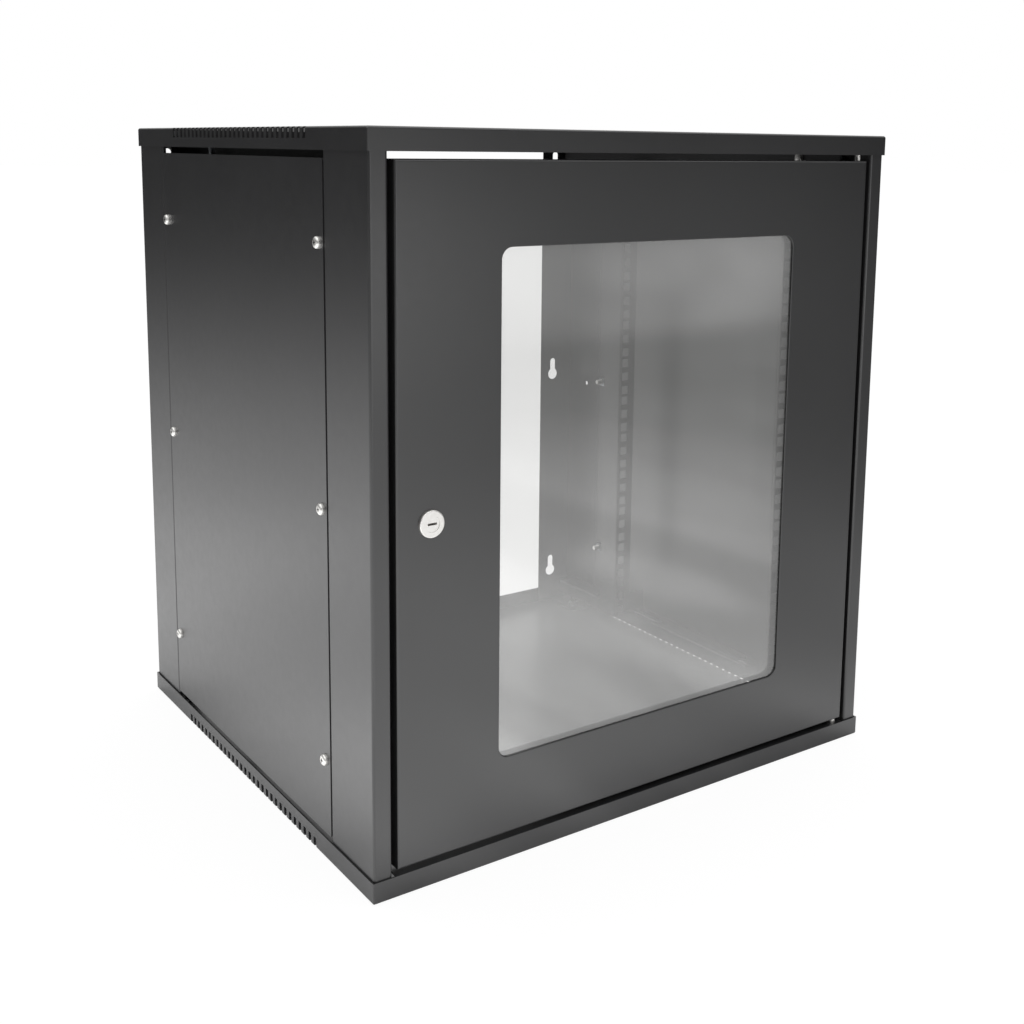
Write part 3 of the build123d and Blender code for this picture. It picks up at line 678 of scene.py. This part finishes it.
@dataclass
class HexBolts(Flatted):
    """Hexagon bolts with a chamfered head and a cut thread."""

    head_height: float = 4.0
    shank_radius: float = 3.0
    length: float = 20.0
    pitch: float = 1.0

    @property
    def top(self) -> float:
        """Height of the head."""
        return self.head_height

    def master(self) -> BMesh:
        """Build one bolt.

        Returns:
            Its mesh, with the underside of the head on level zero.
        """
        bm = bmesh.new()
        loops = [ring(bm, self.face_radius, self.head_height),
                 self.outline(bm, self.head_height, -CHAMFER), self.outline(bm, 0, 0)]
        bmesh.ops.edgeloop_fill(bm, edges=loops[0])
        for first, second in zip(loops, loops[1:]):
            bmesh.ops.bridge_loops(bm, edges=first + second)
        shank = [(self.face_radius, 0), (self.shank_radius, 0), *thread(self.shank_radius, self.length, self.pitch)]
        bmesh.ops.edgeloop_fill(bm, edges=stack(bm, shank, loops[-1]))
        return bm


@dataclass
class BracketBolts(HexBolts):
    """Short bolts in the hole of the depth brackets' inner legs, which the CAD leaves open."""

    from_front: float = 52.0
    from_edge: float = 4.5

    def places(self) -> list[Matrix]:
        """Work out where the bolts go, from the brackets' own boxes.

        Returns:
            One matrix for each bracket.
        """
        spots = []
        for side, facing in (("left", Facing.RIGHT), ("right", Facing.LEFT)):
            aim = Vector((0, 0, 1)).rotation_difference(Vector(facing.value)).to_matrix().to_4x4()
            for level in ("lower", "upper"):
                low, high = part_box(f"{level}_{side}_bracket")
                leg = high.x if side == "left" else low.x
                height = low.z + self.from_edge * MM if level == "lower" else high.z - self.from_edge * MM
                spot = Matrix.Translation((leg, low.y + self.from_front * MM, height))
                spots.append(spot @ aim @ Matrix.Scale(MM, 4))
        return spots

    def build(self) -> bpy.types.Object:
        """Add the bolts as a piece of their own.

        Returns:
            The finished piece.
        """
        return settle(self.gather(), self.node, self.finishes.nickel, "cabinet")


@dataclass
class Bumpers(Fastener):
    """Domed rubber bumpers."""

    radius: float = 5.0
    height: float = 3.2
    wall_share: float = 0.4
    tip_share: float = 0.1

    @property
    def top(self) -> float:
        """Height of the dome."""
        return self.height

    def master(self) -> BMesh:
        """Build one bumper.

        Returns:
            Its mesh, seated on level zero.
        """
        bm = bmesh.new()
        base = ring(bm, self.radius, 0)
        bmesh.ops.edgeloop_fill(bm, edges=base)
        wall = self.height * self.wall_share
        dome = [(self.radius * math.cos(bend), wall + (self.height - wall) * math.sin(bend))
                for bend in QUARTER[:-1]]
        bmesh.ops.edgeloop_fill(bm, edges=stack(bm, [*dome, (self.radius * self.tip_share, self.height)], base))
        return bm


@dataclass
class HingeSpring(Fastener):
    """Compression spring of the upper hinge pin, with a closed turn at each end."""

    wire_radius: float = 0.4
    wire_sides: int = 10
    mean_radius: float = 3.1
    length: float = 26.6
    open_turns: int = 5
    travel: float = 9.0
    steps: int = 20

    @property
    def top(self) -> float:
        """Free length of the spring."""
        return self.length

    def master(self) -> BMesh:
        """Wind the wire.

        Returns:
            Its mesh, standing on level zero.
        """
        bm = bmesh.new()
        start = Matrix.Translation((self.mean_radius, 0, self.wire_radius)) @ Matrix.Rotation(math.pi / 2, 4, "X")
        first = bmesh.ops.create_circle(bm, segments=self.wire_sides, radius=self.wire_radius,
                                        matrix=start)["verts"]
        section = edges_of(first)
        closed = 2 * self.wire_radius
        rise = self.length - 2 * self.wire_radius - 2 * closed
        last = [*first, *section]
        for turns, climb in ((1, closed), (self.open_turns, rise), (1, closed)):
            count = turns * self.steps
            last = bmesh.ops.spin(bm, geom=last, cent=(0, 0, 0), axis=(0, 0, 1), dvec=(0, 0, climb / count),
                                  angle=2 * math.pi * turns, steps=count)["geom_last"]
        end = [item for item in last if isinstance(item, BMEdge)]
        for loop in (section, end):
            bmesh.ops.edgeloop_fill(bm, edges=loop)
        return bm

    def build(self) -> bpy.types.Object:
        """Place the spring and give it a mesh of its own.

        Returns:
            The finished spring.
        """
        piece = super().build()
        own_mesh(piece)
        return piece


@dataclass
class Hardware:
    """All modelled fasteners and small fittings of the cabinet."""

    finishes: Finishes

    def build(self) -> None:
        """Model every screw, nut, bolt, bumper and the spring."""
        kit = self.finishes
        for side, outward in (("left", Facing.LEFT), ("right", Facing.RIGHT)):
            PanScrews(kit, f"{side}_panel_screws", outward).build()
            Nuts(kit, f"{side}_panel_nuts", outward, sides=4, height=4.0).build()
        PanScrews(kit, "cam_screw", Facing.BACK, head_radius=4.5, head_height=2.6, dome_drop=1.7, shank_radius=2.0,
                  length=9.0, pitch=0.7, recess_span=3.8).build()
        Nuts(kit, "bracket_nuts", Facing.RIGHT, turn=90, bore=2.55).build()
        for node in ("bottom_post_nuts", "top_post_nuts", "lower_rail_nuts", "upper_rail_nuts"):
            Nuts(kit, node, Facing.UP).build()
        Nuts(kit, "window_clip_nuts", Facing.BACK, flats=7.0, height=3.2, bore=2.05).build()
        HexBolts(kit, "lower_rail_bolts", Facing.UP).build()
        HexBolts(kit, "upper_rail_bolts", Facing.DOWN).build()
        Bumpers(kit, "door_bumpers", Facing.FRONT).build()
        BracketBolts(kit, "bracket_bolts", Facing.RIGHT, flats=8.0, head_height=3.2, shank_radius=2.4, length=6.0,
                     pitch=0.8).build()
        HingeSpring(kit, "hinge_spring", Facing.UP).build()


@dataclass
class Studio:
    """Pale floor, white backdrop, soft dome of light and a glowing reflector cloth hung in front of the cabinet."""

    floor_half: float = 30.0
    floor_drop: float = 0.2 * MM
    floor_white: float = 1.04
    floor_grey: str = "#f4f4f4"
    shadow: float = 0.12
    # Pool of light on the floor, with its middle to the left of the cabinet
    pool_middle: tuple[float, float, float] = (-0.9, -0.2, 0.0)
    pool_radius: float = 1.6
    pool_level: float = 1.75
    # Soft shade where the cabinet stands, which ends a little way off
    contact_reach: float = 0.12
    contact_power: float = 1.5
    contact_end: Fade = Fade(0.8, 1.4, 0.0, 1.0)
    # Dome of light by the height of its direction, and the white zone that is mirrored behind the cabinet
    sky: Fade = Fade(0.1, 1.0, 0.04, 1.6)
    backdrop: tuple[float, float, float] = (0.576, 0.817, 0.0)
    backdrop_edge: Fade = Fade(0.7, 0.9, 0.0, 1.0)
    # Glowing reflector cloth, with painted light and shade
    cloth_left: float = -0.8
    cloth_right: float = 3.2
    cloth_height: float = 0.7
    cloth_y: float = -2.6
    cloth_level: float = 2.2
    cloth_side: Fade = Fade(2.4, 3.2, 1.0, 0.05)
    cloth_foot: Fade = Fade(0.0, 0.25, 0.8, 1.0)
    cloth_top: Fade = Fade(0.3, 0.7, 1.0, 0.05)
    # Fall of light towards the right of the room, and its return to a rest level
    cloth_fall: Fade = Fade(1.0, 1.4, 1.0, 0.24)
    cloth_rest: float = 0.36
    floor_fall: Fade = Fade(0.3, 1.2, 1.0, 0.55)
    floor_rest: float = 0.95
    return_from: float = 1.6
    return_to: float = 2.1
    # Painted light and shade of the cloth's creases, with the number of creases for each metre along X, Y and Z
    fold_count: tuple[float, float, float] = (2.6, 1.1, 2.6)
    fold_twist: float = 1.6
    fold_light: Fade = Fade(0.35, 0.65, 0.74, 1.16)

    def lay(self, name: str, bm: BMesh, material: bpy.types.Material) -> bpy.types.Object:
        """Put one stage piece into the scene.

        Args:
            name: The piece's name.
            bm: Its mesh, in place.
            material: Its finish.

        Returns:
            The stage object.
        """
        mesh = bpy.data.meshes.new(name)
        bm.to_mesh(mesh)
        bm.free()
        mesh.materials.append(material)
        made = bpy.data.objects.new(name, mesh)
        bpy.context.scene.collection.objects.link(made)
        return made

    def painted_fold_shade(self, tree: bpy.types.NodeTree, place: bpy.types.NodeSocket) -> bpy.types.NodeSocket:
        """Return the painted soft light and shade of loosely laid, creased cloth."""
        long = add(tree, "ShaderNodeMapping", {"Vector": place, "Scale": self.fold_count})
        noise = add(tree, "ShaderNodeTexNoise",
                    {"Vector": long.outputs[0], "Scale": 1.0, "Detail": 3.0, "Distortion": self.fold_twist})
        shades = self.fold_light.sockets(noise.outputs["Fac"])
        return add(tree, "ShaderNodeMapRange", shades, **SMOOTH).outputs["Result"]

    def band(self, tree: bpy.types.NodeTree, across: bpy.types.NodeSocket, fall: Fade,
             rest: float) -> bpy.types.NodeSocket:
        """Shade the right of the room, where the studio's light falls off and comes back.

        Args:
            tree: The node tree.
            across: The place's X.
            fall: The fall of the light towards the right.
            rest: Share of the light beyond the shaded band.

        Returns:
            The share at the place.
        """
        fallen = add(tree, "ShaderNodeMapRange", fall.sockets(across), **SMOOTH).outputs["Result"]
        back = Fade(self.return_from, self.return_to, fall.last, rest).sockets(across) | {"To Min": fallen}
        return add(tree, "ShaderNodeMapRange", back, **SMOOTH).outputs["Result"]

    def glow(self, tree: bpy.types.NodeTree, *shares: bpy.types.NodeSocket | float) -> bpy.types.NodeSocket:
        """Return a shader that shines with the product of some shares."""
        strength, *others = shares
        for share in others:
            strength = add(tree, "ShaderNodeMath", {0: strength, 1: share}, operation="MULTIPLY").outputs[0]
        return add(tree, "ShaderNodeEmission", {"Strength": strength}).outputs[0]

    def pool(self, tree: bpy.types.NodeTree, place: bpy.types.NodeSocket) -> bpy.types.NodeSocket:
        """Return the floor's light, which falls with the square of the distance from its middle."""
        away = add(tree, "ShaderNodeVectorMath", {0: place, 1: self.pool_middle}, operation="DISTANCE")
        share = add(tree, "ShaderNodeMath", {0: away.outputs["Value"], 1: self.pool_radius}, operation="DIVIDE")
        square = add(tree, "ShaderNodeMath", {0: share.outputs[0], 1: 2.0}, operation="POWER")
        spread = add(tree, "ShaderNodeMath", {0: square.outputs[0], 1: 1.0}, operation="ADD")
        return add(tree, "ShaderNodeMath", {0: self.pool_level, 1: spread.outputs[0]}, operation="DIVIDE").outputs[0]

    def contact(self, tree: bpy.types.NodeTree, place: bpy.types.NodeSocket) -> bpy.types.NodeSocket:
        """Return the shade where the cabinet stands on the floor."""
        open_sky = add(tree, "ShaderNodeAmbientOcclusion", {"Distance": self.contact_reach}, samples=4)
        dark = add(tree, "ShaderNodeMath", {0: open_sky.outputs["AO"], 1: self.contact_power}, operation="POWER")
        near = add(tree, "ShaderNodeVectorMath", {0: place}, operation="LENGTH")
        apart = add(tree, "ShaderNodeMapRange", self.contact_end.sockets(near.outputs["Value"]), **SMOOTH)
        return add(tree, "ShaderNodeMath", {0: dark.outputs[0], 1: apart.outputs["Result"]},
                   operation="MAXIMUM").outputs[0]

    def floor_paper(self) -> bpy.types.Material:
        """Build the floor's white paper, brightest beside the cabinet and shaded where the cabinet stands.

        Returns:
            The material.
        """
        made, tree, place = new_tree("white_paper_floor")
        across = add(tree, "ShaderNodeSeparateXYZ", {0: place}).outputs["X"]
        lit = self.glow(tree, self.pool(tree, place), self.painted_fold_shade(tree, place), self.contact(tree, place),
                        self.band(tree, across, self.floor_fall, self.floor_rest))
        white = add(tree, "ShaderNodeEmission", {"Strength": self.floor_white})
        shade = add(tree, "ShaderNodeBsdfDiffuse", {"Color": linear(self.floor_grey)})
        seen = add(tree, "ShaderNodeMixShader", {0: self.shadow, 1: white.outputs[0], 2: shade.outputs[0]})
        both = add(tree, "ShaderNodeMixShader", {0: direct_view(tree), 1: lit, 2: seen.outputs[0]})
        add(tree, "ShaderNodeOutputMaterial", {"Surface": both.outputs[0]})
        return made

    def painted_cloth_glow(self) -> bpy.types.Material:
        """Build the glowing reflector cloth, brightest on its left, with a band of painted shade, and fading at its
        top and right.

        Returns:
            The material.
        """
        made, tree, place = new_tree("glowing_reflector_cloth")
        parts = add(tree, "ShaderNodeSeparateXYZ", {0: place}).outputs
        edges = [add(tree, "ShaderNodeMapRange", fade.sockets(parts[axis]), **SMOOTH).outputs["Result"]
                 for fade, axis in ((self.cloth_side, "X"), (self.cloth_foot, "Z"), (self.cloth_top, "Z"))]
        lit = self.glow(tree, self.band(tree, parts["X"], self.cloth_fall, self.cloth_rest), *edges,
                        self.painted_fold_shade(tree, place), self.cloth_level)
        add(tree, "ShaderNodeOutputMaterial", {"Surface": lit})
        return made

    def floor(self) -> None:
        """Lay the floor, a hair under the cabinet."""
        bm = bmesh.new()
        bmesh.ops.create_grid(bm, x_segments=1, y_segments=1, size=self.floor_half)
        bmesh.ops.translate(bm, vec=(0, 0, -self.floor_drop), verts=bm.verts)
        self.lay("floor", bm, self.floor_paper())

    def cloth(self) -> None:
        """Hang the glowing reflector cloth, which only shows in reflections."""
        bm = bmesh.new()
        bmesh.ops.create_grid(bm, x_segments=1, y_segments=1, size=0.5)
        bmesh.ops.rotate(bm, cent=(0, 0, 0), matrix=Matrix.Rotation(math.radians(90), 3, "X"), verts=bm.verts)
        bmesh.ops.scale(bm, vec=(self.cloth_right - self.cloth_left, 1, self.cloth_height), verts=bm.verts)
        middle = ((self.cloth_left + self.cloth_right) / 2, self.cloth_y, self.cloth_height / 2)
        bmesh.ops.translate(bm, vec=middle, verts=bm.verts)
        made = self.lay("reflector_cloth", bm, self.painted_cloth_glow())
        made.visible_camera = False
        made.visible_transmission = False

    def dome(self) -> None:
        """Set the world: white to the camera, through the pane and mirrored behind the cabinet, else a soft dome."""
        world = bpy.data.worlds.new("studio")
        bpy.context.scene.world = world
        world.use_nodes = True
        tree = world.node_tree
        tree.nodes.clear()
        way = add(tree, "ShaderNodeTexCoord").outputs["Generated"]
        height = add(tree, "ShaderNodeSeparateXYZ", {0: way}).outputs["Z"]
        level = add(tree, "ShaderNodeMapRange", self.sky.sockets(height), **SMOOTH)
        lit = add(tree, "ShaderNodeBackground", {"Color": WHITE, "Strength": level.outputs["Result"]})
        white = add(tree, "ShaderNodeBackground", {"Color": WHITE})
        facing = add(tree, "ShaderNodeVectorMath", {0: way, 1: self.backdrop}, operation="DOT_PRODUCT")
        behind = add(tree, "ShaderNodeMapRange", self.backdrop_edge.sockets(facing.outputs["Value"]), **SMOOTH)
        path = add(tree, "ShaderNodeLightPath")
        mirrored = add(tree, "ShaderNodeMath", {0: path.outputs["Is Glossy Ray"], 1: behind.outputs["Result"]},
                       operation="MULTIPLY")
        plain = add(tree, "ShaderNodeMath", {0: direct_view(tree), 1: mirrored.outputs[0]}, operation="MAXIMUM")
        both = add(tree, "ShaderNodeMixShader", {0: plain.outputs[0], 1: lit.outputs[0], 2: white.outputs[0]})
        add(tree, "ShaderNodeOutputWorld", {"Surface": both.outputs[0]})

    def build(self) -> None:
        """Set up floor, cloth and world."""
        self.floor()
        self.cloth()
        self.dome()


@dataclass(frozen=True)
class Viewpoint:
    """The photograph's camera, solved from the case's edges."""

    place: tuple[float, float, float] = (-0.71398, -1.09392, 0.58700)
    yaw: float = math.radians(35.1585)
    pitch: float = math.radians(8.8187)
    roll: float = math.radians(0.6828)
    lens: float = 46.093
    shift: tuple[float, float] = (-0.03047, -0.15886)
    sensor: float = 36.0
    clip: tuple[float, float] = (0.01, 100.0)

    def build(self) -> None:
        """Make the camera and use it."""
        ahead = Vector((math.sin(self.yaw) * math.cos(self.pitch), math.cos(self.yaw) * math.cos(self.pitch),
                        -math.sin(self.pitch)))
        right = Vector((math.cos(self.yaw), -math.sin(self.yaw), 0))
        up = right.cross(ahead)
        across = right * math.cos(self.roll) + up * math.sin(self.roll)
        upright = up * math.cos(self.roll) - right * math.sin(self.roll)
        data = bpy.data.cameras.new("photo_view")
        data.sensor_width = self.sensor
        data.lens = self.lens
        data.shift_x, data.shift_y = self.shift
        data.clip_start, data.clip_end = self.clip
        made = bpy.data.objects.new("photo_view", data)
        turn = Matrix((across, upright, -ahead)).transposed().to_4x4()
        made.matrix_world = Matrix.Translation(self.place) @ turn
        bpy.context.scene.collection.objects.link(made)
        bpy.context.scene.camera = made


def main() -> None:
    """Build the cabinet's pieces in order, then the studio and the camera."""
    logging.basicConfig(level=logging.INFO, format="%(name)s: %(message)s")
    bpy.context.scene.view_settings.view_transform = "Standard"
    finishes = Finishes()
    SteelCase(finishes).dress()
    Hardware(finishes).build()
    Studio().build()
    Viewpoint().build()


if __name__ == "__main__":
    main()
